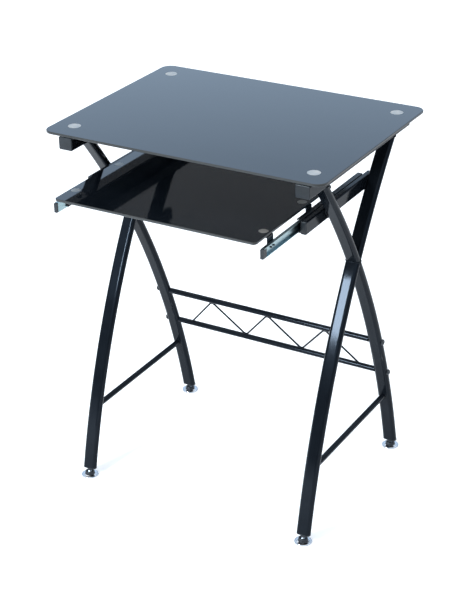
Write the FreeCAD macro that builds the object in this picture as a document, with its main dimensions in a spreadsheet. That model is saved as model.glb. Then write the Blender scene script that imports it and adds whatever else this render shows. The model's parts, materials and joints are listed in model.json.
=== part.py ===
import FreeCAD, Part
import math
import os
import re
import Sketcher

# Glass computer desk with a pull-out keyboard shelf.
#
# Two side frames stand at plus and minus leg_spread / 2. Each is a cross of two bent flat-oval legs, with a
# top rail that carries the glass top, a tray rail that carries a ball-bearing slide, and a low brace.
# A truss of two tubes and a bent wire joins the two rear-foot legs. The keyboard shelf hangs between the
# slides. X runs to the right, Y to the rear and Z up. Every formula below is written about the desk's middle
# planes; place() then moves it so that the origin is under the middle of the whole desk with its shelf out.

SIZES = [
    ("top_width", 600, "glass top, left to right"),
    ("top_depth", 450, "glass top, front to rear"),
    ("top_height", 775, "floor to the top of the glass"),
    ("glass_thickness", 5, "both panes"),
    ("glass_edge", 0.8, "ground bevel round both panes"),
    ("top_corner", 22, "corner radius of the top"),
    ("top_disc", 25, "diameter of the discs in the top"),
    ("disc_across", 516, "between disc centres, left to right"),
    ("disc_along", 352, "between disc centres, front to rear"),
    ("disc_play", 0.2, "gap round a disc in its hole"),
    ("pad_diameter", 29, "rubber pad between glass and rail"),
    ("boss_diameter", 12, "threaded boss under a top disc"),
    ("leg_spread", 510, "between the middle planes of the side frames"),
    ("leg_width", 30, "flat-oval tube, left to right"),
    ("leg_depth", 15, "flat-oval tube, the thin way"),
    ("leg_wall", 1.5, "wall of the legs and top rails"),
    ("bend_radius", 1767, "radius of the legs' arc"),
    ("leg_lean", 30.54, "lean of a leg where the two cross, degrees"),
    ("cross_height", 530, "floor to the crossing of the legs"),
    ("foot_cut", 20, "floor to the cut end of a leg"),
    ("rail_height", 26, "top rails and tray rails, up and down"),
    ("rail_width", 30, "top rails, left to right"),
    ("rail_length", 422, "top rails without their caps"),
    ("rail_gap", 6, "glass underside to the top rail"),
    ("tray_rail_width", 13, "tray rails, left to right"),
    ("tray_rail_base", 646, "floor to the underside of the tray rails"),
    ("tray_rail_front", 166, "front end of the tray rails, ahead of the middle"),
    ("tray_rail_rear", 110, "rear end of the tray rails, behind the middle"),
    ("tray_rail_wall", 1.2, "wall of the tray rails"),
    ("tube_corner", 3, "outer corner radius of the rails and their caps"),
    ("cap_flange", 3, "thickness of an end cap outside the tube"),
    ("cap_round", 2, "rounding of an end cap's face"),
    ("cap_plug", 12, "length of an end cap inside the tube"),
    ("brace_height", 148, "floor to the middle of the low braces"),
    ("tube_diameter", 12, "low braces and truss tubes"),
    ("tube_wall", 1.2, "wall of the low braces and truss tubes"),
    ("truss_low", 215, "floor to the lower truss tube"),
    ("truss_high", 301, "floor to the upper truss tube"),
    ("wire_diameter", 4, "bent truss wire"),
    ("wire_pitch", 136.5, "between neighbouring low bends of the wire"),
    ("wire_bend", 7, "radius of the wire's bends"),
    ("bolt_diameter", 6, "truss bolts and top screws"),
    ("bolt_head", 13, "head of a truss bolt"),
    ("insert_length", 18, "threaded insert in a truss tube"),
    ("glide_diameter", 36, "foot disc of a levelling glide"),
    ("glide_ball", 8, "floor to the ball of a glide"),
    ("ball_radius", 5, "ball of a glide"),
    ("stud_diameter", 6, "threaded stud of a glide"),
    ("stud_length", 30, "ball to the upper end of the stud"),
    ("stud_play", 0.35, "gap round a stud in its leg plug"),
    ("nut_start", 4.6, "ball to the near face of the nut on a stud"),
    ("nut_thickness", 3.8, "nut on a stud"),
    ("plug_flange", 2, "leg plug below the cut end of the tube"),
    ("plug_length", 18, "leg plug inside the tube"),
    ("plug_play", 0.1, "gap round a plug or cap in its tube"),
    ("slide_length", 250, "moving member of a slide"),
    ("slide_depth", 10, "slide channel, away from its rail"),
    ("slide_height", 27, "slide channel, up and down"),
    ("slide_sheet", 1.2, "sheet of the slide channel and member"),
    ("slide_front", 163, "front end of the slides, ahead of the middle"),
    ("channel_lip", 2.6, "lips of the slide channel, up and down"),
    ("channel_spare", 4, "slide channel longer than its moving member"),
    ("member_height", 19.2, "moving member, up and down"),
    ("member_lip", 2.4, "face of the tray rail to the edges of the moving member"),
    ("member_nose", 4.5, "plastic cap ahead of the moving member"),
    ("member_plug", 8, "the same cap inside the moving member"),
    ("bumper_length", 3.6, "rubber bumper behind the moving member"),
    ("bumper_inset", 3, "bumper smaller than the space inside the channel"),
    ("ball_diameter", 2.4, "balls of a slide"),
    ("cage_length", 60, "ball cage"),
    ("slide_screw", 3.5, "screws that hold a slide channel to its rail"),
    ("shelf_out", 135, "how far the shelf is pulled out"),
    ("shelf_width", 430, "keyboard shelf, left to right"),
    ("shelf_depth", 300, "keyboard shelf, front to rear"),
    ("shelf_front", 314, "front edge of the pulled-out shelf, ahead of the middle"),
    ("shelf_height", 684, "floor to the top of the shelf"),
    ("shelf_corner", 8, "corner radius of the shelf"),
    ("shelf_disc", 18, "diameter of the discs in the shelf"),
    ("shelf_disc_across", 404, "between shelf disc centres, left to right"),
    ("front_bracket", 261, "middle of the front brackets, ahead of the middle"),
    ("rear_bracket", 113, "middle of the rear brackets, ahead of the middle"),
    ("bracket_length", 20, "shelf bracket along the slide"),
    ("bracket_sheet", 2.5, "sheet of a shelf bracket"),
    ("bracket_lap", 11, "bracket flange beyond the middle of its disc"),
]

SIDES = {"left": -1, "right": 1}
ENDS = {"front": -1, "rear": 1}
MIDDLE = "(shelf_front - top_depth / 2) / 2"

# Formulas that several pieces share, all in the words of the sheet.
FRAME_X = "leg_spread / 2"
BEND_Z = "(cross_height - bend_radius * sin(leg_lean))"
BEND_Y = "(bend_radius * cos(leg_lean))"
GLASS_BASE = "(top_height - glass_thickness)"
RAIL_TOP = f"({GLASS_BASE} - rail_gap)"
RAIL_BASE = f"({RAIL_TOP} - rail_height)"
TRAY_RAIL_X = "(leg_spread / 2 - leg_width / 2 - tray_rail_width / 2)"
SLIDE_FACE = "(leg_spread / 2 - leg_width / 2 - tray_rail_width)"
SLIDE_Z = "(tray_rail_base + rail_height / 2)"
FOOT_LEAN = f"asin((foot_cut - {BEND_Z}) / bend_radius)"
FOOT_Y = f"({BEND_Y} - bend_radius * cos({FOOT_LEAN}))"
GLIDE_Y = f"({FOOT_Y} - (foot_cut - glide_ball) * tan({FOOT_LEAN}))"
SHELF_BASE = "(shelf_height - glass_thickness)"
MEMBER_FACE = "(slide_depth - 1)"
CAGE_Y = "(slide_length / 2 - slide_front - shelf_out / 2)"
CAGE_ARM = "(slide_height / 4 - slide_sheet / 2 + member_height / 4)"
SLIDE_SCREW_PLACES = ("-150", "-40", "55")
BRACKET_SCREW_PLACES = [
    f"-{end}_bracket + {step} * bracket_length / 4"
    for end in ("front", "rear")
    for step in (-1, 1)
]

# The front leg's arc is made in this many lengths.
LEG_SPANS = 3

# A screw head's shape, as shares of its diameter and height.
HEAD_FACE = 0.36
SOCKET_RADIUS = 0.22
SOCKET_DEPTH = 0.4

document = FreeCAD.newDocument("ComputerDesk")
nodes = []


def fill_sheet():
    """Put every driving dimension in the sheet under its own alias."""
    sheet = document.addObject("Spreadsheet::Sheet", "Sizes")
    for row, (alias, value, note) in enumerate(SIZES, start=1):
        sheet.set(f"A{row}", alias)
        sheet.set(f"B{row}", str(value))
        sheet.set(f"C{row}", note)
        sheet.setAlias(f"B{row}", alias)
    document.recompute()
    return sheet


def in_sheet(formula):
    """The formula with each of the sheet's words written as FreeCAD's expressions need it."""
    words = {alias for alias, _, _ in SIZES}
    return re.sub(r"[a-z_]+", lambda m: f"Sizes.{m[0]}" if m[0] in words else m[0], str(formula))


def amount(formula):
    """The number that a formula gives now."""
    result = sizes.evalExpression(in_sheet(formula))
    return float(getattr(result, "Value", result))


def bind(item, **formulas):
    """Bind properties of an object to formulas; a double underscore in a name stands for a dot."""
    for name, formula in formulas.items():
        item.setExpression(name.replace("__", "."), in_sheet(formula))
    return item


def place(item, across="0", along="0", up="0", axis=(0, 0, 1), angle=0):
    """Stand an object at a point given about the desk's middle planes, turned about an axis through it."""
    item.Placement = FreeCAD.Placement(FreeCAD.Vector(), FreeCAD.Rotation(FreeCAD.Vector(*axis), angle))
    bind(item, Placement__Base__x=across, Placement__Base__y=f"{along} + {MIDDLE}", Placement__Base__z=up)
    return item


def node(item, label):
    """Name a finished sub-part and list it for export."""
    item.Label = label
    nodes.append(item)
    return item


# ---- Part primitives and booleans -------------------------------------------------------------------------


def cylinder(name, radius, length, *where, **turn):
    item = bind(document.addObject("Part::Cylinder", name), Radius=radius, Height=length)
    return place(item, *where, **turn)


def cut(name, base, *tools):
    item = document.addObject("Part::Cut", name)
    item.Base = base
    item.Tool = tools[0] if len(tools) == 1 else join(name + "_tools", *tools)
    return item


def join(name, *pieces):
    item = document.addObject("Part::MultiFuse", name)
    item.Shapes = list(pieces)
    return item


def group(name, pieces):
    item = document.addObject("Part::Compound", name)
    item.Links = list(pieces)
    return item


def tube(name, diameter, wall, length, *where, **turn):
    outer = cylinder(name + "_outer", f"{diameter} / 2", length, *where, **turn)
    inner = cylinder(name + "_bore", f"{diameter} / 2 - {wall}", length, *where, **turn)
    return cut(name, outer, inner)


def screw(name, diameter, length, head, head_height, *where, **turn):
    """A screw with a tapered head and a hexagon socket; its shank runs along the local +Z from the origin."""
    shank = cylinder(name + "_shank", f"{diameter} / 2", length, *where, **turn)
    crown = document.addObject("Part::Cone", name + "_head")
    bind(crown, Radius1=f"{head} / 2", Radius2=f"{head} * {HEAD_FACE}", Height=head_height)
    socket = document.addObject("Part::Prism", name + "_socket")
    socket.Polygon = 6
    bind(socket, Circumradius=f"{head} * {SOCKET_RADIUS}", Height=head_height)
    across, along, up = where
    spin = FreeCAD.Rotation(FreeCAD.Vector(*turn.get("axis", (0, 0, 1))), turn.get("angle", 0))
    down = spin.multVec(FreeCAD.Vector(0, 0, -1))
    depth = amount(head_height) * SOCKET_DEPTH
    place(crown, *where, **turn)
    crown.Placement.Rotation = spin * FreeCAD.Rotation(FreeCAD.Vector(1, 0, 0), 180)
    place(
        socket,
        f"{across} + {down.x * depth:.4f}",
        f"{along} + {down.y * depth:.4f}",
        f"{up} + {down.z * depth:.4f}",
    )
    socket.Placement.Rotation = crown.Placement.Rotation
    return cut(name, join(name + "_blank", shank, crown), socket)


# ---- PartDesign bodies ------------------------------------------------------------------------------------


def body(name, across="0", along="0", up="0", **turn):
    return place(document.addObject("PartDesign::Body", name), across, along, up, **turn)


def sketch(owner, plane, name, lift="0"):
    """A sketch on one of the body's origin planes, lifted off it along the plane's normal."""
    item = owner.newObject("Sketcher::SketchObject", f"{owner.Name}_{name}")
    item.AttachmentSupport = [(next(f for f in owner.Origin.OriginFeatures if f.Role == plane), "")]
    item.MapMode = "FlatFace"
    return bind(item, AttachmentOffset__Base__z=lift)


def pin(item, line, end, across, up):
    """Hold one end of a sketch line at the point that two formulas give."""
    for kind, axis, formula in (("DistanceX", -2, across), ("DistanceY", -1, up)):
        value = amount(formula)
        if abs(value) < 1e-6:
            item.addConstraint(Sketcher.Constraint("PointOnObject", line, end, axis))
            continue
        number = item.addConstraint(Sketcher.Constraint(kind, -1, 1, line, end, value))
        item.setExpression(f"Constraints[{number}]", in_sheet(formula))


def polygon(item, points):
    """Draw a closed outline whose corners are pairs of formulas."""
    corners = [FreeCAD.Vector(amount(across), amount(up), 0) for across, up in points]
    first = item.GeometryCount
    for a, b in zip(corners, corners[1:] + corners[:1]):
        item.addGeometry(Part.LineSegment(a, b), False)
    count = len(points)
    for k, (across, up) in enumerate(points):
        item.addConstraint(Sketcher.Constraint("Coincident", first + (k - 1) % count, 2, first + k, 1))
        pin(item, first + k, 1, across, up)


def rectangle(item, width, height, across="0", up="0"):
    left, right = f"{across} - {width} / 2", f"{across} + {width} / 2"
    low, high = f"{up} - {height} / 2", f"{up} + {height} / 2"
    polygon(item, [(left, low), (right, low), (right, high), (left, high)])


def circle(item, radius, across="0", up="0"):
    centre = FreeCAD.Vector(amount(across), amount(up), 0)
    ring = item.addGeometry(Part.Circle(centre, FreeCAD.Vector(0, 0, 1), amount(radius)), False)
    pin(item, ring, 3, across, up)
    number = item.addConstraint(Sketcher.Constraint("Radius", ring, amount(radius)))
    item.setExpression(f"Constraints[{number}]", in_sheet(radius))


def flat_oval(item, width, depth, up="0"):
    """Draw an oval with straight long sides and round ends, its long way along the sketch's X."""
    reach, radius, middle = amount(f"{width} / 2 - {depth} / 2"), amount(f"{depth} / 2"), amount(up)
    upward = FreeCAD.Vector(0, 0, 1)
    first = item.GeometryCount
    for side, start in ((1, -math.pi / 2), (-1, math.pi / 2)):
        ring = Part.Circle(FreeCAD.Vector(side * reach, middle, 0), upward, radius)
        item.addGeometry(Part.ArcOfCircle(ring, start, start + math.pi), False)
    for side in (1, -1):
        ends = [FreeCAD.Vector(side * k * reach, middle + side * radius, 0) for k in (1, -1)]
        item.addGeometry(Part.LineSegment(*ends), False)
    right, left, upper, lower = range(first, first + 4)
    for a, b in ((right, upper), (upper, left), (left, lower), (lower, right)):
        item.addConstraint(Sketcher.Constraint("Tangent", a, 2, b, 1))
    pin(item, right, 3, f"{width} / 2 - {depth} / 2", up)
    pin(item, left, 3, f"-({width} / 2 - {depth} / 2)", up)
    number = item.addConstraint(Sketcher.Constraint("Radius", right, radius))
    item.setExpression(f"Constraints[{number}]", in_sheet(f"{depth} / 2"))


def feature(owner, kind, profile, name):
    item = owner.newObject(f"PartDesign::{kind}", f"{owner.Name}_{name}")
    item.Profile = profile
    return item


def pad(owner, profile, length, symmetric=False, reverse=False):
    item = bind(feature(owner, "Pad", profile, "pad"), Length=length)
    item.Midplane = symmetric
    item.Reversed = reverse
    return item


def pocket_through(owner, profile, upward=False):
    """Cut the profile away from its plane to the end of the body: down, or up when asked."""
    item = feature(owner, "Pocket", profile, "pocket")
    item.Type = "ThroughAll"
    item.Reversed = upward
    return item


def dress(owner, kind, base, size, wanted):
    """Fillet or chamfer the edges of a feature that the test picks."""
    document.recompute()
    item = owner.newObject(f"PartDesign::{kind}", f"{owner.Name}_{kind.lower()}")
    item.Base = (base, [f"Edge{k}" for k, e in enumerate(base.Shape.Edges, start=1) if wanted(e)])
    return bind(item, **{"Radius" if kind == "Fillet" else "Size": size})


def is_along(direction):
    """A test for straight edges along a direction of the body's own frame."""
    def test(edge):
        return edge.Curve.TypeId == "Part::GeomLine" and abs(edge.Curve.Direction.dot(direction)) > 0.999
    return test


def arc_bar(name, side, end, width, depth, low, high, wall=None):
    """A bar of flat-oval section bent to the legs' arc, cut level at two heights.

    Its foot is at the given end of the desk, and the body's own X axis is the axis of the bend.
    A wall makes it a tube.
    """
    toward = ENDS[end]
    owner = body(name, f"{side} * {FRAME_X}", f"{-toward} * {BEND_Y}", BEND_Z)
    section = sketch(owner, "XY_Plane", "section")
    flat_oval(section, width, depth, f"{toward} * bend_radius")
    if wall:
        flat_oval(section, f"({width} - 2 * {wall})", f"({depth} - 2 * {wall})", f"{toward} * bend_radius")
    bend = feature(owner, "Revolution", section, "bend")
    bend.ReferenceAxis = (next(f for f in owner.Origin.OriginFeatures if f.Role == "X_Axis"), [""])
    bend.Reversed = toward < 0
    bind(bend, Angle=f"asin(({high} - {BEND_Z}) / bend_radius) + 3 deg")
    for height, upward in ((low, False), (high, True)):
        trim = sketch(owner, "XY_Plane", "trim", f"{height} - {BEND_Z}")
        rectangle(trim, "2 * leg_width", "2 * bend_radius", "0", f"{toward} * bend_radius")
        pocket_through(owner, trim, upward)
    return owner


def envelope(side, end):
    """A bar between a leg's flat faces, wider than the leg, to cope other tubes to it."""
    return arc_bar("envelope", side, end, "2 * leg_width", "leg_depth", "foot_cut", RAIL_BASE)


def leg_at(height, end):
    """The distance of a leg's middle line from the desk's middle at a height, as a formula."""
    lean = f"asin(({height} - {BEND_Z}) / bend_radius)"
    return f"{-ENDS[end]} * ({BEND_Y} - bend_radius * cos({lean}))"


# ---- Glass panes and the discs that hold them --------------------------------------------------------------


def is_rim(edge):
    """A test for the level edges of a pane's outline; a disc hole's edge is a circle with one vertex."""
    return edge.BoundBox.ZLength < 1e-6 and len(edge.Vertexes) == 2


def pane(label, width, depth, base, corner, disc, disc_places, middle="0"):
    """A glass pane with round corners, ground edges and a hole for each disc."""
    owner = body(label, "0", middle, base)
    outline = sketch(owner, "XY_Plane", "outline")
    rectangle(outline, width, depth)
    for across, along in disc_places:
        circle(outline, f"{disc} / 2 + disc_play", across, f"{along} - ({middle})")
    slab = pad(owner, outline, "glass_thickness")
    rounded = dress(owner, "Fillet", slab, corner, is_along(FreeCAD.Vector(0, 0, 1)))
    dress(owner, "Chamfer", rounded, "glass_edge", is_rim)
    return node(owner, label)


def disc(name, diameter, base, across, along):
    """A metal disc that fills a pane's hole, with a threaded bore from below."""
    plate = cylinder(name + "_plate", f"{diameter} / 2", "glass_thickness", across, along, base)
    bore = cylinder(name + "_bore", "bolt_diameter / 2", "glass_thickness - 2", across, along, base)
    return cut(name, plate, bore)


TOP_PLACES = [(f"{a} * disc_across / 2", f"{b} * disc_along / 2") for a in (-1, 1) for b in (-1, 1)]


def build_top():
    pane("glass_top", "top_width", "top_depth", GLASS_BASE, "top_corner", "top_disc", TOP_PLACES)
    discs, pads, screws = [], [], []
    for k, (across, along) in enumerate(TOP_PLACES):
        head = disc(f"top_disc_{k}", "top_disc", GLASS_BASE, across, along)
        boss = tube(f"top_boss_{k}", "boss_diameter", "(boss_diameter - bolt_diameter) / 2", "rail_gap",
                    across, along, RAIL_TOP)
        discs.append(join(f"top_disc_whole_{k}", head, boss))
        pads.append(tube(f"top_pad_{k}", "pad_diameter", "(pad_diameter - boss_diameter) / 2", "rail_gap",
                         across, along, RAIL_TOP))
        screws.append(screw(f"top_screw_{k}", "bolt_diameter", "rail_height + rail_gap + 2",
                            "2 * bolt_diameter", "bolt_diameter * 0.6", across, along, RAIL_BASE))
    node(group("TopDiscs", discs), "top_discs")
    node(group("TopPads", pads), "top_pads")
    node(group("TopScrews", screws), "top_screws")


# ---- Side frames -------------------------------------------------------------------------------------------


def box_tube(name, width, height, wall, front, rear, across, up):
    """A rectangular tube along Y, from a distance ahead of the middle to one behind it."""
    owner = body(name, across, f"-({front})", up)
    outline = sketch(owner, "XZ_Plane", "outline")
    rectangle(outline, width, height)
    rectangle(outline, f"({width} - 2 * {wall})", f"({height} - 2 * {wall})")
    wall_pad = pad(owner, outline, f"{front} + {rear}", reverse=True)
    document.recompute()
    limit = amount(f"{width} / 2") - 1e-3
    along = is_along(FreeCAD.Vector(0, 1, 0))
    dress(owner, "Fillet", wall_pad, "tube_corner", lambda e: along(e) and abs(e.BoundBox.Center.x) > limit)
    return owner


def end_cap(name, width, height, wall, across, end_y, up, toward):
    """A plastic cap: a flange over the tube's end and a plug inside it."""
    owner = body(name, across, end_y, up)
    flange = sketch(owner, "XZ_Plane", "flange")
    rectangle(flange, width, height)
    cover = pad(owner, flange, "cap_flange", reverse=toward > 0)
    far = toward * amount("cap_flange")
    rounded = dress(owner, "Fillet", cover, "tube_corner", is_along(FreeCAD.Vector(0, 1, 0)))
    dress(owner, "Fillet", rounded, "cap_round", lambda e: abs(e.BoundBox.Center.y - far) < 1e-3)
    plug = sketch(owner, "XZ_Plane", "plug")
    rectangle(plug, f"({width} - 2 * {wall} - 2 * plug_play)", f"({height} - 2 * {wall} - 2 * plug_play)")
    pad(owner, plug, "cap_plug", reverse=toward < 0)
    return owner


def build_rails(word, side):
    """The top rail and the tray rail of one side frame, with their caps."""
    across = f"{side} * {FRAME_X}"
    middle = f"({RAIL_BASE} + rail_height / 2)"
    rail = box_tube(f"TopRail_{word}", "rail_width", "rail_height", "leg_wall", "rail_length / 2",
                    "rail_length / 2", across, middle)
    holes = [cylinder(f"rail_hole_{word}_{k}", "bolt_diameter / 2", "rail_height + 2",
                      f"{side} * disc_across / 2", f"{b} * disc_along / 2", f"{RAIL_BASE} - 1")
             for k, b in enumerate((-1, 1))]
    node(cut(f"TopRailDrilled_{word}", rail, *holes), f"top_rail_{word}")
    for end, toward in ENDS.items():
        cap = end_cap(f"TopCap_{word}_{end}", "rail_width", "rail_height", "leg_wall", across,
                      f"{toward} * rail_length / 2", middle, toward)
        node(cap, f"top_rail_cap_{end}_{word}")

    across = f"{side} * {TRAY_RAIL_X}"
    rail = box_tube(f"TrayRail_{word}", "tray_rail_width", "rail_height", "tray_rail_wall", "tray_rail_front",
                    "tray_rail_rear", across, SLIDE_Z)
    holes = [cylinder(f"tray_hole_{word}_{k}", "slide_screw / 2", "tray_rail_wall + 2",
                      f"{side} * ({SLIDE_FACE} - 1)", along, SLIDE_Z, axis=(0, 1, 0), angle=side * 90)
             for k, along in enumerate(SLIDE_SCREW_PLACES)]
    node(cut(f"TrayRailDrilled_{word}", rail, *holes), f"tray_rail_{word}")
    caps = [end_cap(f"TrayCap_{word}_{end}", "tray_rail_width", "rail_height", "tray_rail_wall", across,
                    f"{ENDS[end]} * tray_rail_{end}", SLIDE_Z, ENDS[end]) for end in ENDS]
    node(group(f"TrayCaps_{word}", caps), f"tray_rail_caps_{word}")


def build_legs(word, side):
    """The two crossed legs, the low brace between them and the plugs in their feet."""
    cuts = [f"(foot_cut + ({RAIL_BASE} - foot_cut) * {k} / {LEG_SPANS})" for k in range(LEG_SPANS + 1)]
    arcs = [
        arc_bar(f"FrontLeg{k}_{word}", side, "front", "leg_width", "leg_depth", low, high, "leg_wall")
        for k, (low, high) in enumerate(zip(cuts, cuts[1:]))
    ]
    front = join(f"FrontLeg_{word}", *arcs)
    front.Refine = False  # keeps the seams between the arcs, so that no face runs the leg's whole length
    node(front, f"front_leg_{word}")
    upper = arc_bar(f"RearLegUpper_{word}", side, "rear", "leg_width", "leg_depth", "cross_height + 2",
                    RAIL_BASE, "leg_wall")
    node(cut(f"RearLegUpperCoped_{word}", upper, envelope(side, "front")), f"rear_leg_upper_{word}")
    lower = arc_bar(f"RearLegLower_{word}", side, "rear", "leg_width", "leg_depth", "foot_cut",
                    "cross_height - 2", "leg_wall")
    holes = [cylinder(f"bolt_hole_{word}_{k}", "bolt_diameter / 2", "leg_width + 2",
                      f"{side} * ({FRAME_X} - leg_width / 2 - 1)", leg_at(height, "rear"), height,
                      axis=(0, 1, 0), angle=side * 90)
             for k, height in enumerate(("truss_low", "truss_high"))]
    node(cut(f"RearLegLowerCoped_{word}", lower, envelope(side, "front"), *holes), f"rear_leg_lower_{word}")

    bar = tube(f"Brace_{word}", "tube_diameter", "tube_wall", f"2 * {leg_at('brace_height', 'rear')}",
               f"{side} * {FRAME_X}", leg_at("brace_height", "front"), "brace_height",
               axis=(1, 0, 0), angle=-90)
    coped = cut(f"BraceCoped_{word}", bar, envelope(side, "front"), envelope(side, "rear"))
    node(coped, f"leg_brace_{word}")
    for end in ENDS:
        build_foot(word, side, end)


# ---- Feet --------------------------------------------------------------------------------------------------


def along_stud(name, radius, start, length, side, end):
    """A cylinder on the axis of a leg's foot, measured upward from the middle of the glide's ball."""
    lean = amount(FOOT_LEAN)
    toward = ENDS[end]
    rise, run = math.cos(math.radians(lean)), math.sin(math.radians(lean))
    return cylinder(name, radius, length, f"{side} * {FRAME_X}",
                    f"{-toward} * ({GLIDE_Y} + ({start}) * {run:.6f})",
                    f"glide_ball + ({start}) * {rise:.6f}", axis=(1, 0, 0), angle=toward * lean)


def build_foot(word, side, end):
    """The plug in the cut end of a leg, and the levelling glide: a disc that swivels on a stud's ball."""
    key = f"{end}_{word}"
    flange = arc_bar(f"PlugFlange_{key}", side, end, "leg_width", "leg_depth", "foot_cut - plug_flange",
                     "foot_cut")
    core = arc_bar(f"PlugCore_{key}", side, end, "(leg_width - 2 * leg_wall - 2 * plug_play)",
                   "(leg_depth - 2 * leg_wall - 2 * plug_play)", "foot_cut", "foot_cut + plug_length")
    bore = along_stud(f"PlugBore_{key}", "stud_diameter / 2 + stud_play", "0", "foot_cut + plug_length",
                      side, end)
    node(cut(f"Plug_{key}", join(f"PlugBlank_{key}", flange, core), bore), f"leg_plug_{key}")

    across, along = f"{side} * {FRAME_X}", f"{-ENDS[end]} * {GLIDE_Y}"
    ball = bind(document.addObject("Part::Sphere", f"Ball_{key}"), Radius="ball_radius")
    place(ball, across, along, "glide_ball")
    shank = along_stud(f"Stud_{key}", "stud_diameter / 2", "0", "stud_length", side, end)
    nut = along_stud(f"NutRound_{key}", "stud_diameter * 0.95", "nut_start", "nut_thickness", side, end)
    hexagon = document.addObject("Part::Prism", f"NutHexagon_{key}")
    hexagon.Polygon = 6
    bind(hexagon, Circumradius="stud_diameter", Height="nut_thickness")
    hexagon.Placement = nut.Placement
    for axis in "xyz":
        hexagon.setExpression(f"Placement.Base.{axis}", f"{nut.Name}.Placement.Base.{axis}")
    nut_whole = document.addObject("Part::MultiCommon", f"Nut_{key}")
    nut_whole.Shapes = [nut, hexagon]
    node(join(f"GlideStud_{key}", ball, shank, nut_whole), f"glide_stud_{key}")
    node(glide_disc(key, across, along), f"glide_{key}")


def glide_disc(key, across, along):
    """A domed metal foot disc with a socket that holds the stud's ball."""
    owner = body(f"Glide_{key}", across, along, "0")
    outline = sketch(owner, "XZ_Plane", "outline")
    rim = "glide_diameter / 2"
    polygon(outline, [("0", "0"), (f"{rim} - 2", "0"), (rim, "1.5"), (rim, "3"), (f"{rim} - 1.5", "4.5"),
                      (f"{rim} * 0.6", "7"), (f"{rim} * 0.42", "11"), ("0", "11")])
    turned = feature(owner, "Revolution", outline, "turned")
    turned.ReferenceAxis = (next(f for f in owner.Origin.OriginFeatures if f.Role == "Z_Axis"), [""])
    turned.Angle = 360
    socket = bind(document.addObject("Part::Sphere", f"Socket_{key}"), Radius="ball_radius + 0.15")
    place(socket, across, along, "glide_ball")
    return cut(f"GlideSocket_{key}", owner, socket)


# ---- The truss between the rear-foot legs ------------------------------------------------------------------


def build_truss():
    reach = f"({FRAME_X} - leg_width / 2)"
    bolts, inserts = [], []
    for word, height in (("lower", "truss_low"), ("upper", "truss_high")):
        along = leg_at(height, "rear")
        bar = tube(f"Truss_{word}", "tube_diameter", "tube_wall", f"2 * {reach}", f"-{reach}", along, height,
                   axis=(0, 1, 0), angle=90)
        node(bar, f"truss_{word}_tube")
        for side_word, side in SIDES.items():
            key = f"{word}_{side_word}"
            sleeve = "(tube_diameter / 2 - tube_wall)"
            inserts.append(tube(f"Insert_{key}", f"(2 * {sleeve})", f"({sleeve} - bolt_diameter / 2)",
                                "insert_length", f"{side} * {reach}", along, height,
                                axis=(0, 1, 0), angle=-side * 90))
            bolts.append(screw(f"Bolt_{key}", "bolt_diameter", "leg_width + insert_length - 3", "bolt_head",
                               "bolt_diameter * 0.55", f"{side} * ({reach} + leg_width)", along, height,
                               axis=(0, 1, 0), angle=-side * 90))
    node(group("TrussBolts", bolts), "truss_bolts")
    node(group("TrussInserts", inserts), "truss_inserts")
    node(truss_wire(), "truss_wire")


def truss_wire():
    """The wire that zigzags between the truss tubes in their common plane, touching each at its bends."""
    low, high = amount("truss_low"), amount("truss_high")
    low_y, high_y = amount(leg_at("truss_low", "rear")), amount(leg_at("truss_high", "rear"))
    slope = FreeCAD.Vector(0, high_y - low_y, high - low)
    inset = amount("tube_diameter / 2 + wire_diameter / 2")
    step = slope.normalize() * (inset - amount("wire_bend") * (math.sqrt(2) - 1))
    bottom = FreeCAD.Vector(0, low_y, low) + step
    top = FreeCAD.Vector(0, high_y, high) - step
    half = amount("wire_pitch / 2")
    points = [(bottom if k % 2 == 0 else top) + FreeCAD.Vector((k - 3) * half, 0, 0) for k in range(7)]
    run = bent_run(points, amount("wire_bend"))
    ring = Part.Circle(points[0], points[1] - points[0], amount("wire_diameter / 2")).toShape()
    rod = document.addObject("Part::Feature", "WireRod")
    rod.Shape = run.makePipeShell([Part.Wire([ring])], True, False, 2)
    place(rod)
    reach = f"({FRAME_X} - leg_width / 2)"
    copes = [cylinder(f"wire_cope_{height}", "tube_diameter / 2", f"2 * {reach}", f"-{reach}",
                      leg_at(height, "rear"), height, axis=(0, 1, 0), angle=90)
             for height in ("truss_low", "truss_high")]
    return cut("TrussWire", rod, *copes)


def bent_run(points, radius):
    """A wire of straight runs through the points, joined by tangent arcs of one radius."""
    edges, start = [], points[0]
    for before, corner, after in zip(points, points[1:], points[2:]):
        back, ahead = (before - corner).normalize(), (after - corner).normalize()
        half_turn = (math.pi - back.getAngle(ahead)) / 2
        reach = radius * math.tan(half_turn)
        first, last = corner + back * reach, corner + ahead * reach
        towards_centre = (back + ahead).normalize()
        middle = corner + towards_centre * (radius / math.cos(half_turn) - radius)
        edges.append(Part.LineSegment(start, first).toShape())
        edges.append(Part.Arc(first, middle, last).toShape())
        start = last
    edges.append(Part.LineSegment(start, points[-1]).toShape())
    return Part.Wire(edges)


# ---- Slides ------------------------------------------------------------------------------------------------


def slide_body(name, side, front, length, points):
    """A sheet section that runs along the slide, from a distance ahead of the desk's middle.

    Each point of the half section is a distance from the rail's face towards the desk's middle, and a height
    above the middle of the slide; the lower half mirrors it.
    """
    owner = body(name, f"{side} * {SLIDE_FACE}", f"-({front})", SLIDE_Z)
    outline = sketch(owner, "XZ_Plane", "outline")
    whole = points + [(depth, f"-({up})") for depth, up in reversed(points)]
    polygon(outline, [(f"{-side} * ({depth})", up) for depth, up in whole])
    pad(owner, outline, length, reverse=True)
    return owner


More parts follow.
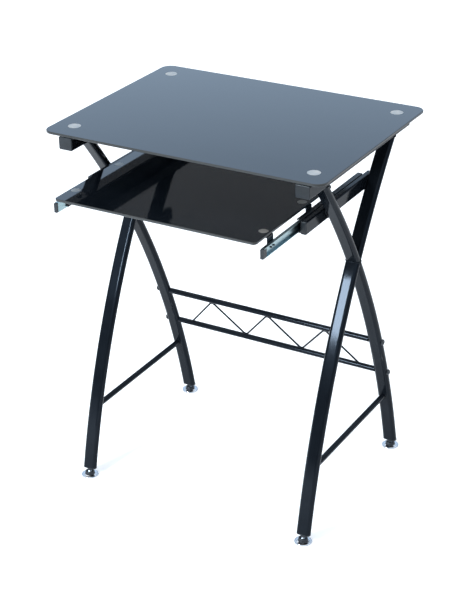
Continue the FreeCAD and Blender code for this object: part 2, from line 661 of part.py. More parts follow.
def slide_screw(name, side, along):
    """A countersunk screw, its head flush with the inside of the channel's web."""
    start = f"({SLIDE_FACE} - slide_sheet)"
    head = bind(document.addObject("Part::Cone", name + "_head"), Radius1="slide_screw * 0.85",
                Radius2="slide_screw / 2", Height="slide_sheet * 0.8")
    place(head, f"{side} * {start}", along, SLIDE_Z, axis=(0, 1, 0), angle=side * 90)
    shank = cylinder(name + "_shank", "slide_screw / 2", "8", f"{side} * {start}", along, SLIDE_Z,
                     axis=(0, 1, 0), angle=side * 90)
    return join(name, head, shank)


def ball_places(side):
    """The middles of one slide's balls: two rows of six, above and below the moving member."""
    for row in (-1, 1):
        for k in range(6):
            along = f"{CAGE_Y} + cage_length / 6 * {k - 2.5}"
            yield f"{side} * ({SLIDE_FACE} - slide_depth / 2)", along, f"{SLIDE_Z} + {row} * {CAGE_ARM}"


def spheres(name, side, radius):
    balls = []
    for k, where in enumerate(ball_places(side)):
        ball = bind(document.addObject("Part::Sphere", f"{name}_{k}"), Radius=radius)
        balls.append(place(ball, *where))
    return balls


def member_cap(word, side):
    """A plastic cap on the front end of a slide's moving member, with a plug inside its section."""
    owner = body(f"MemberCap_{word}", f"{side} * {SLIDE_FACE}", "-(slide_front + shelf_out)", SLIDE_Z)
    face = sketch(owner, "XZ_Plane", "face")
    rectangle(face, f"({MEMBER_FACE} - member_lip)", "member_height",
              f"{-side} * ({MEMBER_FACE} + member_lip) / 2")
    nose = pad(owner, face, "member_nose")
    dress(owner, "Fillet", nose, "member_nose / 4", is_along(FreeCAD.Vector(0, 1, 0)))
    room = f"({MEMBER_FACE} - slide_sheet - plug_play - member_lip)"
    plug = sketch(owner, "XZ_Plane", "plug")
    rectangle(plug, room, "(member_height - 2 * slide_sheet - 2 * plug_play)",
              f"{-side} * (member_lip + {room} / 2)")
    pad(owner, plug, "member_plug", reverse=True)
    return owner


def build_slide(word, side):
    """One ball-bearing slide: the channel on the rail, the moving member, and the balls in their cage."""
    half, lip = "slide_height / 2", "slide_height / 2 - channel_lip"
    web, mouth = "slide_sheet", "slide_depth - slide_sheet"
    channel = slide_body(f"Channel_{word}", side, "slide_front", "slide_length + channel_spare", [
        (web, f"{half} - {web}"), (mouth, f"{half} - {web}"), (mouth, lip), ("slide_depth", lip),
        ("slide_depth", half), ("0", half)])
    holes = [slide_screw(f"ChannelHole_{word}_{k}", side, y) for k, y in enumerate(SLIDE_SCREW_PLACES)]
    node(cut(f"ChannelDrilled_{word}", channel, *holes), f"slide_channel_{word}")

    tall = "member_height / 2"
    member = slide_body(f"Member_{word}", side, "slide_front + shelf_out", "slide_length", [
        (MEMBER_FACE, tall), ("member_lip", tall), ("member_lip", f"{tall} - {web}"),
        (f"{MEMBER_FACE} - {web}", f"{tall} - {web}")])
    holes = [cylinder(f"MemberHole_{word}_{k}", "slide_screw / 2", "slide_depth",
                      f"{side} * ({SLIDE_FACE} - slide_depth)", y, SLIDE_Z, axis=(0, 1, 0), angle=side * 90)
             for k, y in enumerate(BRACKET_SCREW_PLACES)]
    node(cut(f"MemberDrilled_{word}", member, *holes), f"slide_member_{word}")
    node(member_cap(word, side), f"member_cap_{word}")

    inside, outside = f"{web} + 0.35", f"{web} + 0.85"
    cage = slide_body(f"Cage_{word}", side, f"-({CAGE_Y}) + cage_length / 2", "cage_length", [
        (outside, f"{CAGE_ARM} - 0.25"), ("slide_depth * 0.74", f"{CAGE_ARM} - 0.25"),
        ("slide_depth * 0.74", f"{CAGE_ARM} + 0.25"), (inside, f"{CAGE_ARM} + 0.25")])
    pockets = spheres(f"CagePocket_{word}", side, "ball_diameter / 2 + 0.08")
    node(cut(f"CagePierced_{word}", cage, *pockets), f"ball_cage_{word}")
    node(group(f"Balls_{word}", spheres(f"Ball_{word}", side, "ball_diameter / 2")), f"slide_balls_{word}")


def build_slide_fixings():
    screws = [slide_screw(f"SlideScrew_{word}_{k}", side, y)
              for word, side in SIDES.items() for k, y in enumerate(SLIDE_SCREW_PLACES)]
    node(group("SlideScrews", screws), "slide_screws")
    bumpers = []
    for word, side in SIDES.items():
        block = bind(document.addObject("Part::Box", f"Bumper_{word}"), Length="slide_depth - bumper_inset",
                     Width="bumper_length", Height="member_height - bumper_inset")
        middle = f"({SLIDE_FACE} - slide_sheet - (slide_depth - bumper_inset) / 2)"
        place(block, f"{side} * {middle} - (slide_depth - bumper_inset) / 2",
              "slide_length - slide_front + channel_spare - bumper_length",
              f"{SLIDE_Z} - (member_height - bumper_inset) / 2")
        bumpers.append(block)
    node(group("SlideBumpers", bumpers), "slide_bumpers")


# ---- The keyboard shelf ------------------------------------------------------------------------------------

SHELF_PLACES = {
    end: [(f"{a} * shelf_disc_across / 2", f"-{end}_bracket") for a in (-1, 1)] for end in ENDS
}


def build_shelf():
    places = SHELF_PLACES["front"] + SHELF_PLACES["rear"]
    pane("shelf_glass", "shelf_width", "shelf_depth", SHELF_BASE, "shelf_corner", "shelf_disc", places,
         "(shelf_depth / 2 - shelf_front)")
    discs, screws, fixings = [], [], []
    for k, (across, along) in enumerate(places):
        discs.append(disc(f"shelf_disc_{k}", "shelf_disc", SHELF_BASE, across, along))
        screws.append(screw(f"shelf_screw_{k}", "bolt_diameter", "bracket_sheet + 2.8", "2 * bolt_diameter",
                            "bolt_diameter * 0.6", across, along, f"{SHELF_BASE} - bracket_sheet"))
    for word, side in SIDES.items():
        for end in ENDS:
            build_bracket(f"{end}_{word}", side, f"-{end}_bracket")
        for k, along in enumerate(BRACKET_SCREW_PLACES):
            start = f"{side} * ({SLIDE_FACE} - slide_depth - 0.4 - bracket_sheet)"
            fixings.append(screw(f"bracket_screw_{word}_{k}", "slide_screw", "bracket_sheet + 5", "7", "2",
                                 start, along, SLIDE_Z, axis=(0, 1, 0), angle=side * 90))
    node(group("ShelfDiscs", discs), "shelf_discs")
    node(group("ShelfScrews", screws), "shelf_disc_screws")
    node(group("BracketScrews", fixings), "bracket_screws")


def build_bracket(key, side, along):
    """A bent bracket: a boss on the moving member, a leg clear of the channel, a flange under the pane."""
    owner = body(f"Bracket_{key}", f"{side} * {SLIDE_FACE}", along, SLIDE_Z)
    outline = sketch(owner, "XZ_Plane", "outline")
    boss, clear = "member_height / 2 - 1.6", "slide_depth + 0.4"
    top = f"{SHELF_BASE} - {SLIDE_Z}"
    reach = f"({SLIDE_FACE} - shelf_disc_across / 2 + bracket_lap)"
    points = [(MEMBER_FACE, f"-({boss})"), (MEMBER_FACE, boss), (clear, boss), (clear, top), (reach, top),
              (reach, f"{top} - bracket_sheet"), (f"{clear} + bracket_sheet", f"{top} - bracket_sheet"),
              (f"{clear} + bracket_sheet", f"-({boss})")]
    polygon(outline, [(f"{-side} * ({depth})", up) for depth, up in points])
    pad(owner, outline, "bracket_length", symmetric=True)
    holes = [cylinder(f"bracket_hole_{key}_{k}", "slide_screw / 2", "bracket_sheet + 4",
                      f"{side} * ({SLIDE_FACE} - slide_depth - 1 - bracket_sheet)",
                      f"{along} + {step} * bracket_length / 4", SLIDE_Z, axis=(0, 1, 0), angle=side * 90)
             for k, step in enumerate((-1, 1))]
    holes.append(cylinder(f"bracket_eye_{key}", "bolt_diameter / 2", "bracket_sheet + 2",
                          f"{side} * shelf_disc_across / 2", along, f"{SHELF_BASE} - bracket_sheet - 1"))
    node(cut(f"BracketDrilled_{key}", owner, *holes), f"shelf_bracket_{key}")


# ---- Building, checking and writing ------------------------------------------------------------------------


def check():
    """Stop if any object of the document failed, or any sub-part has no valid solid."""
    for item in document.Objects:
        if "Invalid" in item.State or "Error" in item.State:
            raise RuntimeError(f"{item.Label} failed: {item.State}")
    for item in nodes:
        if item.Shape.isNull() or not item.Shape.isValid() or not item.Shape.Solids:
            raise RuntimeError(f"{item.Label} has no valid solid")


def write():
    os.makedirs("parts", exist_ok=True)
    for item in nodes:
        item.Shape.exportStep(f"parts/{item.Label}.step")
        print(f"{item.Label:28s} {len(item.Shape.Solids):2d} solids  {item.Shape.Volume / 1000:9.2f} cm3")


sizes = fill_sheet()
build_top()
for side_word, side_sign in SIDES.items():
    build_rails(side_word, side_sign)
    build_legs(side_word, side_sign)
    build_slide(side_word, side_sign)
build_truss()
build_slide_fixings()
build_shelf()
document.recompute()
check()
write()
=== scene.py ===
import json
import math

import bmesh
import bpy
from mathutils import Matrix, Vector


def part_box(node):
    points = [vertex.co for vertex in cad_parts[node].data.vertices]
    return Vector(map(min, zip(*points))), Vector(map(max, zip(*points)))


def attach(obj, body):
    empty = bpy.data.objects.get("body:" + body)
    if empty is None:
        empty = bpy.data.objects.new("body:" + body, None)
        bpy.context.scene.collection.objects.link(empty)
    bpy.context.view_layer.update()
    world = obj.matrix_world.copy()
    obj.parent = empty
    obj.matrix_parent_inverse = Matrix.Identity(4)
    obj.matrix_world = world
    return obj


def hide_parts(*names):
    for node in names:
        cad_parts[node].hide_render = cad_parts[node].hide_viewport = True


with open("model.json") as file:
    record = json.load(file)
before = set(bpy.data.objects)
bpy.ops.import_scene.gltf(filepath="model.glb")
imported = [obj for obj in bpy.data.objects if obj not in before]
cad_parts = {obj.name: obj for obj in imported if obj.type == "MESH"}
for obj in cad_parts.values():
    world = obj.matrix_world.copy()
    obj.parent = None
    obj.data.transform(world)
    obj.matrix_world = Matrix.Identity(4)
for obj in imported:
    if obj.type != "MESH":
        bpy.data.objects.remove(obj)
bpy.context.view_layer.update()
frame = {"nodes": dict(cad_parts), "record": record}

# Glass computer desk with a pull-out keyboard shelf. Metres, +Z up, -Y towards the user.

NODES = frame["nodes"]
SLOT_OF = {row["node"]: row["material_slot"] for row in frame["record"]["subparts"]}
DESK_MIDDLE = (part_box("glass_top")[0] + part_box("glass_top")[1]) / 2
TOP_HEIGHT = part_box("glass_top")[1].z


# ---- Node trees ----------------------------------------------------------------------------------


class Tree:
    """A short way to write a material's nodes."""

    def __init__(self, name):
        self.material = bpy.data.materials.new(name)
        self.material.use_nodes = True
        self.nodes = self.material.node_tree.nodes
        self.links = self.material.node_tree.links
        self.shader = self.nodes["Principled BSDF"]

    def add(self, kind, settings=None, **inputs):
        """Add a node; an input is a value, or the output socket of another node."""
        item = self.nodes.new("ShaderNode" + kind)
        for name, value in (settings or {}).items():
            setattr(item, name, value)
        for name, value in inputs.items():
            self.feed(item.inputs[name.replace("_", " ")], value)
        return item

    def feed(self, socket, value):
        if isinstance(value, bpy.types.NodeSocket):
            self.links.new(value, socket)
        else:
            socket.default_value = value

    def shade(self, **inputs):
        for name, value in inputs.items():
            self.feed(self.shader.inputs[name.replace("_", " ")], value)

    def place(self, scale):
        """Object coordinates, stretched by three factors."""
        source = self.add("TexCoord").outputs["Object"]
        return self.add("Mapping", Vector=source, Scale=scale).outputs["Vector"]

    def noise(self, where, scale, detail=3.0, roughness=0.5):
        """A noise pattern, mostly between 0.35 and 0.65."""
        item = self.add("TexNoise", Vector=where, Scale=scale, Detail=detail, Roughness=roughness)
        return item.outputs["Fac"]

    def span(self, value, low, high, start=0.35, end=0.65):
        """Carry a value from one range to another."""
        item = self.add("MapRange", {"clamp": True}, Value=value, From_Min=start, From_Max=end)
        self.feed(item.inputs["To Min"], low)
        self.feed(item.inputs["To Max"], high)
        return item.outputs["Result"]

    def blend(self, factor, first, second):
        """Blend two numbers."""
        item = self.add("Mix", {"data_type": "FLOAT"})
        numbers = [s for s in item.inputs if s.type == "VALUE"]
        self.feed(numbers[0], factor)
        self.feed(numbers[1], first)
        self.feed(numbers[2], second)
        return next(s for s in item.outputs if s.type == "VALUE")

    def mix(self, factor, first, second):
        """Blend two colours."""
        item = self.add("Mix", {"data_type": "RGBA"})
        colours = [s for s in item.inputs if s.type == "RGBA"]
        self.feed(item.inputs[0], factor)
        self.feed(colours[0], first)
        self.feed(colours[1], second)
        return next(s for s in item.outputs if s.type == "RGBA")

    def tones(self, pattern, first, second, start=0.35, end=0.65):
        """Shade from one colour to another by a pattern."""
        return self.mix(self.span(pattern, 0, 1, start, end), colour(*first), colour(*second))

    def bump(self, height, distance, strength=1.0):
        return self.add("Bump", Height=height, Distance=distance, Strength=strength).outputs["Normal"]


def colour(red, green, blue):
    return (red, green, blue, 1.0)


# ---- Materials -----------------------------------------------------------------------------------


def black_glass():
    """Polished glass painted behind: faint wipe marks on the face, a duller ground edge."""
    tree = Tree("black_glass")
    where = tree.place((1, 1, 1))
    smears = tree.noise(tree.place((3, 9, 3)), 2.2, 5)
    specks = tree.noise(where, 700, 2)
    facing = tree.add("SeparateXYZ", Vector=tree.add("NewGeometry").outputs["True Normal"]).outputs["Z"]
    upright = tree.add("Math", {"operation": "ABSOLUTE"}, Value=facing).outputs[0]
    flat = tree.span(upright, 0, 1, 0.9, 0.99)
    face = tree.tones(smears, (0.0022, 0.0032, 0.0046), (0.0032, 0.0044, 0.0062))
    edge = tree.tones(specks, (0.0012, 0.0024, 0.0026), (0.003, 0.005, 0.0056))
    polish = tree.span(smears, 0.03, 0.06)
    ground = 0.28
    tree.shade(
        Base_Color=tree.mix(flat, edge, face),
        Roughness=tree.blend(flat, ground, polish),
        IOR=1.52,
        Normal=tree.bump(smears, 0.00002, 0.2),
    )
    return tree.material


def black_frame():
    """Gloss powder coat: orange peel, and a trace of dust that dulls it in patches."""
    tree = Tree("black_frame")
    where = tree.place((1, 1, 1))
    peel = tree.noise(where, 420, 2)
    dust = tree.noise(where, 16, 6, 0.65)
    tree.shade(
        Base_Color=tree.tones(dust, (0.004, 0.0052, 0.007), (0.006, 0.0076, 0.0098)),
        Roughness=tree.span(dust, 0.08, 0.13),
        IOR=1.2,
        Specular_Tint=colour(0.76, 0.85, 1.0),
        Normal=tree.bump(peel, 0.00006, 0.35),
    )
    return tree.material


def zinc_steel():
    """Bright zinc with a cool passivated bloom and fine rolling lines along the slide."""
    tree = Tree("zinc_steel")
    bloom = tree.noise(tree.place((1, 0.5, 1)), 60, 4, 0.6)
    lines = tree.noise(tree.place((60, 1, 60)), 40, 3)
    tree.shade(
        Base_Color=tree.tones(bloom, (0.26, 0.37, 0.39), (0.36, 0.45, 0.47)),
        Metallic=1.0,
        Roughness=tree.span(bloom, 0.24, 0.38),
        Normal=tree.bump(lines, 0.00004, 0.4),
    )
    return tree.material


def disc_steel():
    """Satin steel with a fine grain and a slightly uneven sheen."""
    tree = Tree("disc_steel")
    grain = tree.noise(tree.place((1, 1, 1)), 900, 3)
    sheen = tree.noise(tree.place((1, 1, 1)), 90, 3)
    tree.shade(
        Base_Color=tree.tones(sheen, (0.46, 0.45, 0.43), (0.54, 0.52, 0.49)),
        Metallic=1.0,
        Roughness=tree.span(sheen, 0.34, 0.46),
        Normal=tree.bump(grain, 0.00003, 0.5),
    )
    return tree.material


def glide_chrome():
    """Bright nickel-chrome with faint handling marks."""
    tree = Tree("glide_chrome")
    marks = tree.noise(tree.place((1, 1, 1)), 180, 5, 0.6)
    tree.shade(
        Base_Color=tree.tones(marks, (0.50, 0.53, 0.57), (0.60, 0.62, 0.65)),
        Metallic=1.0,
        Roughness=tree.span(marks, 0.06, 0.16),
        Normal=tree.bump(marks, 0.00003, 0.2),
    )
    return tree.material


def black_plastic():
    """Moulded plastic with a fine spark-eroded grain; its gloss is low."""
    tree = Tree("black_plastic")
    where = tree.place((1, 1, 1))
    grain = tree.noise(where, 1500, 2)
    tone = tree.noise(where, 40, 3)
    tree.shade(
        Base_Color=tree.tones(tone, (0.006, 0.008, 0.010), (0.011, 0.014, 0.017)),
        Roughness=tree.span(tone, 0.34, 0.46),
        IOR=1.36,
        Normal=tree.bump(grain, 0.00005, 0.5),
    )
    return tree.material


def black_rubber():
    """Matt rubber with a pale bloom in patches."""
    tree = Tree("black_rubber")
    where = tree.place((1, 1, 1))
    bloom = tree.noise(where, 70, 4, 0.7)
    tree.shade(
        Base_Color=tree.tones(bloom, (0.012, 0.012, 0.013), (0.024, 0.024, 0.026)),
        Roughness=tree.span(bloom, 0.62, 0.78),
        Normal=tree.bump(tree.noise(where, 1100, 2), 0.00008, 0.6),
    )
    return tree.material


def black_screw():
    """Black oxide: a dark steel that shows bare metal only a little."""
    tree = Tree("black_screw")
    wear = tree.noise(tree.place((1, 1, 1)), 500, 5, 0.7)
    tree.shade(
        Base_Color=tree.tones(wear, (0.020, 0.022, 0.026), (0.07, 0.075, 0.08), 0.4, 0.75),
        Metallic=0.7,
        Roughness=tree.span(wear, 0.3, 0.45),
    )
    return tree.material


def slide_black():
    """Cathodic black on the slide channel: thin, even, half gloss."""
    tree = Tree("slide_black")
    lines = tree.noise(tree.place((80, 2, 80)), 30, 3)
    tone = tree.noise(tree.place((1, 1, 1)), 35, 4)
    tree.shade(
        Base_Color=tree.tones(tone, (0.010, 0.012, 0.015), (0.018, 0.021, 0.025)),
        Metallic=0.3,
        Roughness=tree.span(tone, 0.28, 0.4),
        Normal=tree.bump(lines, 0.00004, 0.4),
    )
    return tree.material


def ball_steel():
    """Polished bearing steel under a thin film of oil."""
    tree = Tree("ball_steel")
    film = tree.noise(tree.place((1, 1, 1)), 800, 3)
    tree.shade(
        Base_Color=tree.tones(film, (0.70, 0.72, 0.74), (0.85, 0.86, 0.88)),
        Metallic=1.0,
        Roughness=tree.span(film, 0.05, 0.12),
    )
    return tree.material


MATERIALS = {
    make.__name__: make()
    for make in (black_glass, black_frame, zinc_steel, disc_steel, glide_chrome, black_plastic,
                 black_rubber, black_screw, slide_black, ball_steel)
}


def finish_cad_nodes():
    """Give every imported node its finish."""
    for name, item in NODES.items():
        item.data.materials.clear()
        item.data.materials.append(MATERIALS[SLOT_OF[name]])


# ---- Mesh tools ----------------------------------------------------------------------------------


def across(axis):
    """Two directions square to an axis and to each other."""
    side = Vector((1, 0, 0)) if abs(axis.x) < 0.9 else Vector((0, 1, 0))
    side = (side - axis * side.dot(axis)).normalized()
    return side, axis.cross(side)


def circle(count):
    """Angles at even steps round a circle."""
    return [2 * math.pi * k / count for k in range(count)]


def spoke(side, other, turn):
    """The direction at an angle from one of two crossed directions towards the other."""
    return side * math.cos(turn) + other * math.sin(turn)


class Skin:
    """Vertices and faces of one piece, gathered ring by ring."""

    def __init__(self):
        self.points = []
        self.faces = []

    def rings(self, rings, closed=False):
        """Skin rings that have the same number of points; an open run gets a face on each end."""
        start, around = len(self.points), len(rings[0])
        for ring in rings:
            self.points.extend(ring)
        for k in range(len(rings) if closed else len(rings) - 1):
            low, high = start + k * around, start + (k + 1) % len(rings) * around
            for j in range(around):
                after = (j + 1) % around
                self.faces.append((low + j, low + after, high + after, high + j))
        if not closed:
            last = start + (len(rings) - 1) * around
            self.faces.append(tuple(range(start + around - 1, start - 1, -1)))
            self.faces.append(tuple(range(last, last + around)))

    def turned(self, profile, foot, axis, steps=48, reach=None, closed=False):
        """Turn (radius, height) pairs about an axis; reach may change a radius by its angle."""
        side, other = across(axis)
        rings = []
        for radius, height in profile:
            ring = []
            for turn in circle(steps):
                out = reach(radius, turn) if reach else radius
                ring.append(foot + axis * height + spoke(side, other, turn) * out)
            rings.append(ring)
        self.rings(rings, closed)

    def bead(self, path, closed=True):
        """A rippled weld bead along a path; the ends of an open one taper."""
        count = len(path)
        ripples = round(sum((b - a).length for a, b in zip(path, path[1:])) / RIPPLE_PITCH)
        first, rings = None, []
        for k, point in enumerate(path):
            before = path[k - 1] if closed or k else point
            after = path[(k + 1) % count] if closed or k < count - 1 else point
            along = (after - before).normalized()
            first = across(along)[0] if first is None else (first - along * first.dot(along)).normalized()
            second = along.cross(first)
            swell = BEAD_RADIUS * (1 + BEAD_RIPPLE * math.sin(2 * math.pi * ripples * k / count))
            if not closed and k in (0, count - 1):
                swell *= BEAD_END
            rings.append([point + spoke(first, second, turn) * swell for turn in circle(BEAD_SIDES)])
        self.rings(rings, closed=closed)

    def piece(self, name, slot, body="root", stands_for=(), smooth=35):
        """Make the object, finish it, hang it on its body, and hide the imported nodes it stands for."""
        mesh = bpy.data.meshes.new(name)
        mesh.from_pydata([tuple(point) for point in self.points], [], self.faces)
        work = bmesh.new()
        work.from_mesh(mesh)
        bmesh.ops.recalc_face_normals(work, faces=work.faces)
        work.to_mesh(mesh)
        work.free()
        mesh.shade_smooth()
        mesh.set_sharp_from_angle(angle=math.radians(smooth))
        mesh.materials.append(MATERIALS[slot])
        item = bpy.data.objects.new(name, mesh)
        bpy.context.scene.collection.objects.link(item)
        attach(item, body)
        if stands_for:
            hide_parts(*stands_for)


# ---- The legs' arcs ------------------------------------------------------------------------------

SIDES = {"left": -1, "right": 1}
ENDS = {"front": -1, "rear": 1}
LEG_LOW, LEG_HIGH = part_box("front_leg_right")
LEG_X = (LEG_LOW.x + LEG_HIGH.x) / 2
LEG_HALF_WIDTH = 0.015
LEG_HALF_DEPTH = 0.0075
BEND_RADIUS = 1.767
CROSS_LEAN = math.radians(30.54)
CROSS_HEIGHT = 0.530
BEND_Z = CROSS_HEIGHT - BEND_RADIUS * math.sin(CROSS_LEAN)
BEND_Y = BEND_RADIUS * math.cos(CROSS_LEAN)


def leg_line(side, end, height):
    """A point on a leg's middle line, and the leg's direction there, upward."""
    lean = math.asin((height - BEND_Z) / BEND_RADIUS)
    toward = ENDS[end]
    y = DESK_MIDDLE.y - toward * (BEND_Y - BEND_RADIUS * math.cos(lean))
    return Vector((side * LEG_X, y, height)), Vector((0, -toward * math.sin(lean), math.cos(lean)))


def leg_outline(count):
    """Points at even steps round the legs' flat oval, as distances across its width and its depth."""
    reach, arc = LEG_HALF_WIDTH - LEG_HALF_DEPTH, math.pi * LEG_HALF_DEPTH
    half = arc + 2 * reach
    for k in range(count):
        along = 2 * half * k / count
        side = 1 if along < half else -1
        along %= half
        turn = along / LEG_HALF_DEPTH - math.pi / 2
        if along < arc:
            yield side * (reach + LEG_HALF_DEPTH * math.cos(turn)), side * LEG_HALF_DEPTH * math.sin(turn)
        else:
            yield side * (reach - (along - arc)), side * LEG_HALF_DEPTH


# ---- Welds ---------------------------------------------------------------------------------------

BEAD_RADIUS = 0.0015
BEAD_SIDES = 8
BEAD_RIPPLE = 0.12
BEAD_END = 0.4
RIPPLE_PITCH = 0.0017
POINTS_ROUND_LEG = 168
POINTS_ROUND_TOP = 150
POINTS_ROUND_BRACE = 72
TRAY_BEAD_POINTS = 41
TRAY_BEAD_MARGIN = 0.002
TRAY_BEAD_OFFSET = 0.0042
TRAY_BEAD_RISE = 0.0006


def weld_crossing(skin, side):
    """Fill the rear leg's two halves down to the front leg's round edges, and run a bead round each."""
    middle = leg_line(side, "front", CROSS_HEIGHT)[0]
    axis = leg_line(side, "rear", CROSS_HEIGHT)[1]
    square = Vector((0, axis.z, -axis.y))
    sine, cosine = math.sin(CROSS_LEAN), math.cos(CROSS_LEAN)
    for upward in (1, -1):
        cut, seam = [], []
        for x, depth in leg_outline(POINTS_ROUND_LEG):
            run = (LEG_HALF_DEPTH + depth * math.cos(2 * CROSS_LEAN)) / math.sin(2 * CROSS_LEAN)
            corner = Vector((0, 0, depth / sine)) if depth > 0 else Vector((0, depth / cosine, 0))
            cut.append(middle + Vector((x, 0, 0)) + (axis * run + square * depth) * upward)
            seam.append(middle + Vector((x, 0, 0)) + corner * upward)
        skin.rings([cut, seam])
        skin.bead(seam)


def weld_leg_top(skin, side, end):
    """A bead round the leg's level cut, under the top rail."""
    middle, axis = leg_line(side, end, LEG_HIGH.z)
    skin.bead([middle + Vector((x, depth / axis.z, 0)) for x, depth in leg_outline(POINTS_ROUND_TOP)])


def weld_brace(skin, side, end):
    """A bead round the low brace where it meets the inward face of a leg."""
    low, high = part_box("leg_brace_right")
    radius = (high.z - low.z) / 2
    middle, axis = leg_line(side, end, (low.z + high.z) / 2)
    middle += Vector((0, -ENDS[end] * LEG_HALF_DEPTH / axis.z, 0))
    slope = axis.y / axis.z
    skin.bead([
        middle + Vector((math.cos(turn), slope * math.sin(turn), math.sin(turn))) * radius
        for turn in circle(POINTS_ROUND_BRACE)
    ])


def weld_tray_rail(skin, side, end):
    """Two short beads where a leg's round edge lies along the tray rail."""
    low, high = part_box("tray_rail_right")
    x = side * (high.x + TRAY_BEAD_RISE)
    start, length = low.z + TRAY_BEAD_MARGIN, high.z - low.z - 2 * TRAY_BEAD_MARGIN
    for offset in (-TRAY_BEAD_OFFSET, TRAY_BEAD_OFFSET):
        path = []
        for k in range(TRAY_BEAD_POINTS):
            middle, axis = leg_line(side, end, start + length * k / (TRAY_BEAD_POINTS - 1))
            path.append(Vector((x, middle.y + offset / axis.z, middle.z)))
        skin.bead(path, closed=False)


def build_welds():
    """All the welds of both side frames, as one piece."""
    skin = Skin()
    for side in SIDES.values():
        weld_crossing(skin, side)
        for end in ENDS:
            weld_leg_top(skin, side, end)
            weld_brace(skin, side, end)
            weld_tray_rail(skin, side, end)
    skin.piece("welds", "black_frame")


# ---- Feet ----------------------------------------------------------------------------------------

# The foot disc's outlines, (radius, height) in millimetres: a flange with a rolled rim, all the way round,
# and a hub that starts at its underside and ends in the socket for the ball.
FLANGE = [
    (10.6, 0.0), (15.6, 0.0), (17.0, 0.3), (17.8, 1.0), (18.0, 1.9), (17.8, 2.8), (17.1, 3.5), (16.2, 3.8),
    (15.2, 3.6), (14.2, 3.5), (12.6, 3.8), (11.4, 4.3), (10.6, 4.4),
]
HUB = [
    (10.5, 0.0), (10.5, 4.6), (10.1, 5.7), (9.6, 7.2), (9.1, 9.2), (8.5, 10.4), (7.5, 10.95), (6.2, 11.0),
    (5.1, 10.8), (4.65, 10.3), (4.95, 9.2), (5.15, 8.0), (4.95, 6.6), (4.3, 5.1), (3.0, 3.85), (1.5, 3.05),
]
MILLIMETRE = 0.001
DISC_STEPS = 72
BALL_RINGS = 16
BALL_HEIGHT = 0.008
BALL_RADIUS = 0.005
STUD_RADIUS = 0.003
STUD_LENGTH = 0.030
THREAD_PITCH = 0.001
THREAD_DEPTH = 0.0004
THREAD_STEPS = 24
ROWS_PER_TURN = 6
NUT_LOW, NUT_HIGH = 0.0046, 0.0084
NUT_FLAT, NUT_CORNER = 0.0052, 0.0057
NUT_BEVEL = 0.0005


def in_metres(profile):
    """A millimetre profile as the mesh needs it."""
    return [(radius * MILLIMETRE, height * MILLIMETRE) for radius, height in profile]


def hexagon(radius, turn):
    """The radius at an angle, held back to the nut's flats."""
    wedge = turn % (math.pi / 3) - math.pi / 6
    return min(radius, NUT_FLAT / math.cos(wedge))


def threaded_rings(foot, axis):
    """Rings of the stud's shank with its helical thread."""
    side, other = across(axis)
    rows = round((STUD_LENGTH - NUT_LOW) / THREAD_PITCH * ROWS_PER_TURN)
    for row in range(rows + 1):
        height = NUT_LOW + (STUD_LENGTH - NUT_LOW) * row / rows
        ring = []
        for turn in circle(THREAD_STEPS):
            phase = (height / THREAD_PITCH - turn / (2 * math.pi)) % 1
            radius = STUD_RADIUS - THREAD_DEPTH * abs(2 * phase - 1)
            ring.append(foot + axis * height + spoke(side, other, turn) * radius)
        yield ring


def build_foot(word, side, end):
    """A levelling foot: a disc of flange and hub, a stud with its ball, and a lock nut."""
    key = f"{end}_{word}"
    body = f"glide_{key}"
    low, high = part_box(body)
    foot, up = Vector(((low.x + high.x) / 2, (low.y + high.y) / 2, 0)), Vector((0, 0, 1))
    flange, hub = Skin(), Skin()
    flange.turned(in_metres(FLANGE), foot, up, DISC_STEPS, closed=True)
    flange.piece(f"foot_disc_{key}", "glide_chrome", body, [f"glide_{key}"], smooth=60)
    hub.turned(in_metres(HUB), foot, up, DISC_STEPS)
    hub.piece(f"foot_hub_{key}", "black_screw", body, smooth=60)

    axis = leg_line(side, end, LEG_LOW.z)[1]
    ball = foot + up * BALL_HEIGHT
    stud = Skin()
    arc = [math.pi * (k / BALL_RINGS - 0.5) for k in range(1, BALL_RINGS)]
    stud.turned([(BALL_RADIUS * math.cos(turn), BALL_RADIUS * math.sin(turn)) for turn in arc], ball, axis)
    stud.rings(list(threaded_rings(ball, axis)))
    stud.piece(f"foot_stud_{key}", "glide_chrome", body, [f"glide_stud_{key}"])

    nut = Skin()
    outline = [(NUT_FLAT, NUT_LOW), (NUT_CORNER, NUT_LOW + NUT_BEVEL), (NUT_CORNER, NUT_HIGH - NUT_BEVEL),
               (NUT_FLAT, NUT_HIGH)]
    nut.turned(outline, ball, axis, DISC_STEPS, reach=hexagon)
    nut.piece(f"foot_nut_{key}", "black_screw", body)


def build_feet():
    """The four levelling feet, each on its own body."""
    for word, side in SIDES.items():
        for end in ENDS:
            build_foot(word, side, end)


# ---- Floor, light and camera ---------------------------------------------------------------------


def build_floor():
    """A wide pale floor under the feet."""
    reach = 14.0
    mesh = bpy.data.meshes.new("floor")
    corners = [(-reach, -reach, 0), (reach, -reach, 0), (reach, reach, 0), (-reach, reach, 0)]
    mesh.from_pydata(corners, [], [(0, 1, 2, 3)])
    floor = bpy.data.objects.new("floor", mesh)
    bpy.context.scene.collection.objects.link(floor)
    tree = Tree("floor_white")
    tone = tree.noise(tree.place((1, 1, 1)), 3, 4)
    tree.shade(
        Base_Color=tree.mix(tone, colour(0.92, 0.91, 0.90), colour(0.95, 0.94, 0.93)),
        Roughness=0.7,
        Emission_Color=colour(1.0, 0.99, 0.97),
        Emission_Strength=0.12,
    )
    mesh.materials.append(tree.material)


# The dome's light, each tone with the sine of its angle above the horizon.
DOME = [
    (0.0, (0.05, 0.06, 0.07)),
    (0.225, (0.08, 0.10, 0.12)),
    (0.295, (1.10, 1.45, 1.88)),
    (0.37, (0.80, 1.07, 1.42)),
    (0.60, (0.84, 1.00, 1.20)),
    (1.0, (1.30, 1.30, 1.30)),
]


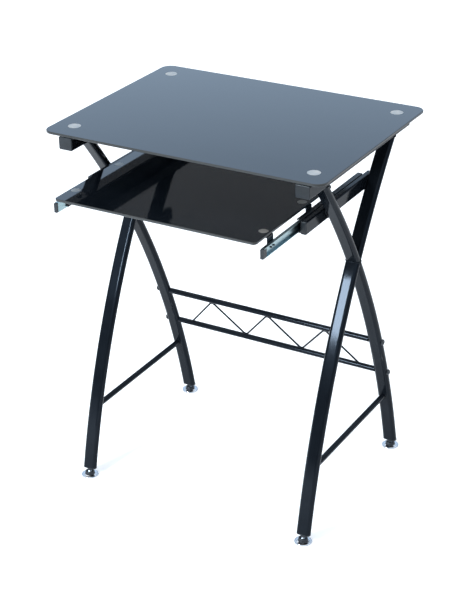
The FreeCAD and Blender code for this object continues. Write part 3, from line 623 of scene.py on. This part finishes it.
def build_sky():
    """A cool soft dome, bright above and dim near the horizon."""
    world = bpy.data.worlds.new("studio")
    bpy.context.scene.world = world
    world.use_nodes = True
    nodes, links = world.node_tree.nodes, world.node_tree.links
    up = nodes.new("ShaderNodeSeparateXYZ")
    links.new(nodes.new("ShaderNodeTexCoord").outputs["Generated"], up.inputs[0])
    ramp = nodes.new("ShaderNodeValToRGB")
    while len(ramp.color_ramp.elements) < len(DOME):
        ramp.color_ramp.elements.new(0.5)
    peak = max(max(tone) for _, tone in DOME)
    for element, (height, tone) in zip(ramp.color_ramp.elements, DOME):
        element.position = height
        element.color = colour(*(value / peak for value in tone))
    links.new(up.outputs["Z"], ramp.inputs[0])
    background = nodes["Background"]
    links.new(ramp.outputs["Color"], background.inputs["Color"])
    background.inputs["Strength"].default_value = peak


def build_lamp(name, place, target, size, radiance, tone=(1, 1, 1)):
    """A rectangular soft box that shines at a point."""
    data = bpy.data.lights.new(name, "AREA")
    data.shape = "RECTANGLE"
    data.size, data.size_y = size
    data.energy = radiance * math.pi * size[0] * size[1]
    data.color = tone
    lamp = bpy.data.objects.new(name, data)
    lamp.location = place
    lamp.rotation_mode = "QUATERNION"
    lamp.rotation_quaternion = (Vector(target) - Vector(place)).to_track_quat("-Z", "Y")
    bpy.context.scene.collection.objects.link(lamp)


def build_lights():
    """A small cool key that the right front leg mirrors, and a wide warm box overhead."""
    middle = Vector((0, DESK_MIDDLE.y, TOP_HEIGHT / 2))
    key_place, key_size, key_tone = middle + Vector((-0.76, -2.15, 1.1)), (0.55, 0.6), (0.78, 0.9, 1.0)
    over_place, over_size, over_tone = (0, 0, 4.2), (7.0, 7.0), (1.0, 0.93, 0.84)
    build_lamp("key_box", key_place, middle, key_size, 80, key_tone)
    build_lamp("over_box", over_place, middle, over_size, 0.75, over_tone)


def build_camera():
    """A long lens from the front right, above the desk."""
    azimuth, elevation, roll = math.radians(30.31), math.radians(26.62), math.radians(-1.01)
    distance, aim = 3.19656, Vector((-0.0151, DESK_MIDDLE.y + 0.0013, 0.38))
    data = bpy.data.cameras.new("camera")
    data.lens, data.sensor_width, data.sensor_fit = 93.6, 36.0, "AUTO"
    data.clip_end = 60
    camera = bpy.data.objects.new("camera", data)
    back = Vector((math.sin(azimuth) * math.cos(elevation), -math.cos(azimuth) * math.cos(elevation),
                   math.sin(elevation)))
    turn = back.to_track_quat("Z", "Y").to_matrix().to_4x4() @ Matrix.Rotation(roll, 4, "Z")
    camera.matrix_world = Matrix.Translation(aim + back * distance) @ turn
    bpy.context.scene.collection.objects.link(camera)
    bpy.context.scene.camera = camera
    bpy.context.scene.view_settings.view_transform = "Standard"


build_camera()
build_floor()
build_sky()
build_lights()
finish_cad_nodes()
build_welds()
build_feet()
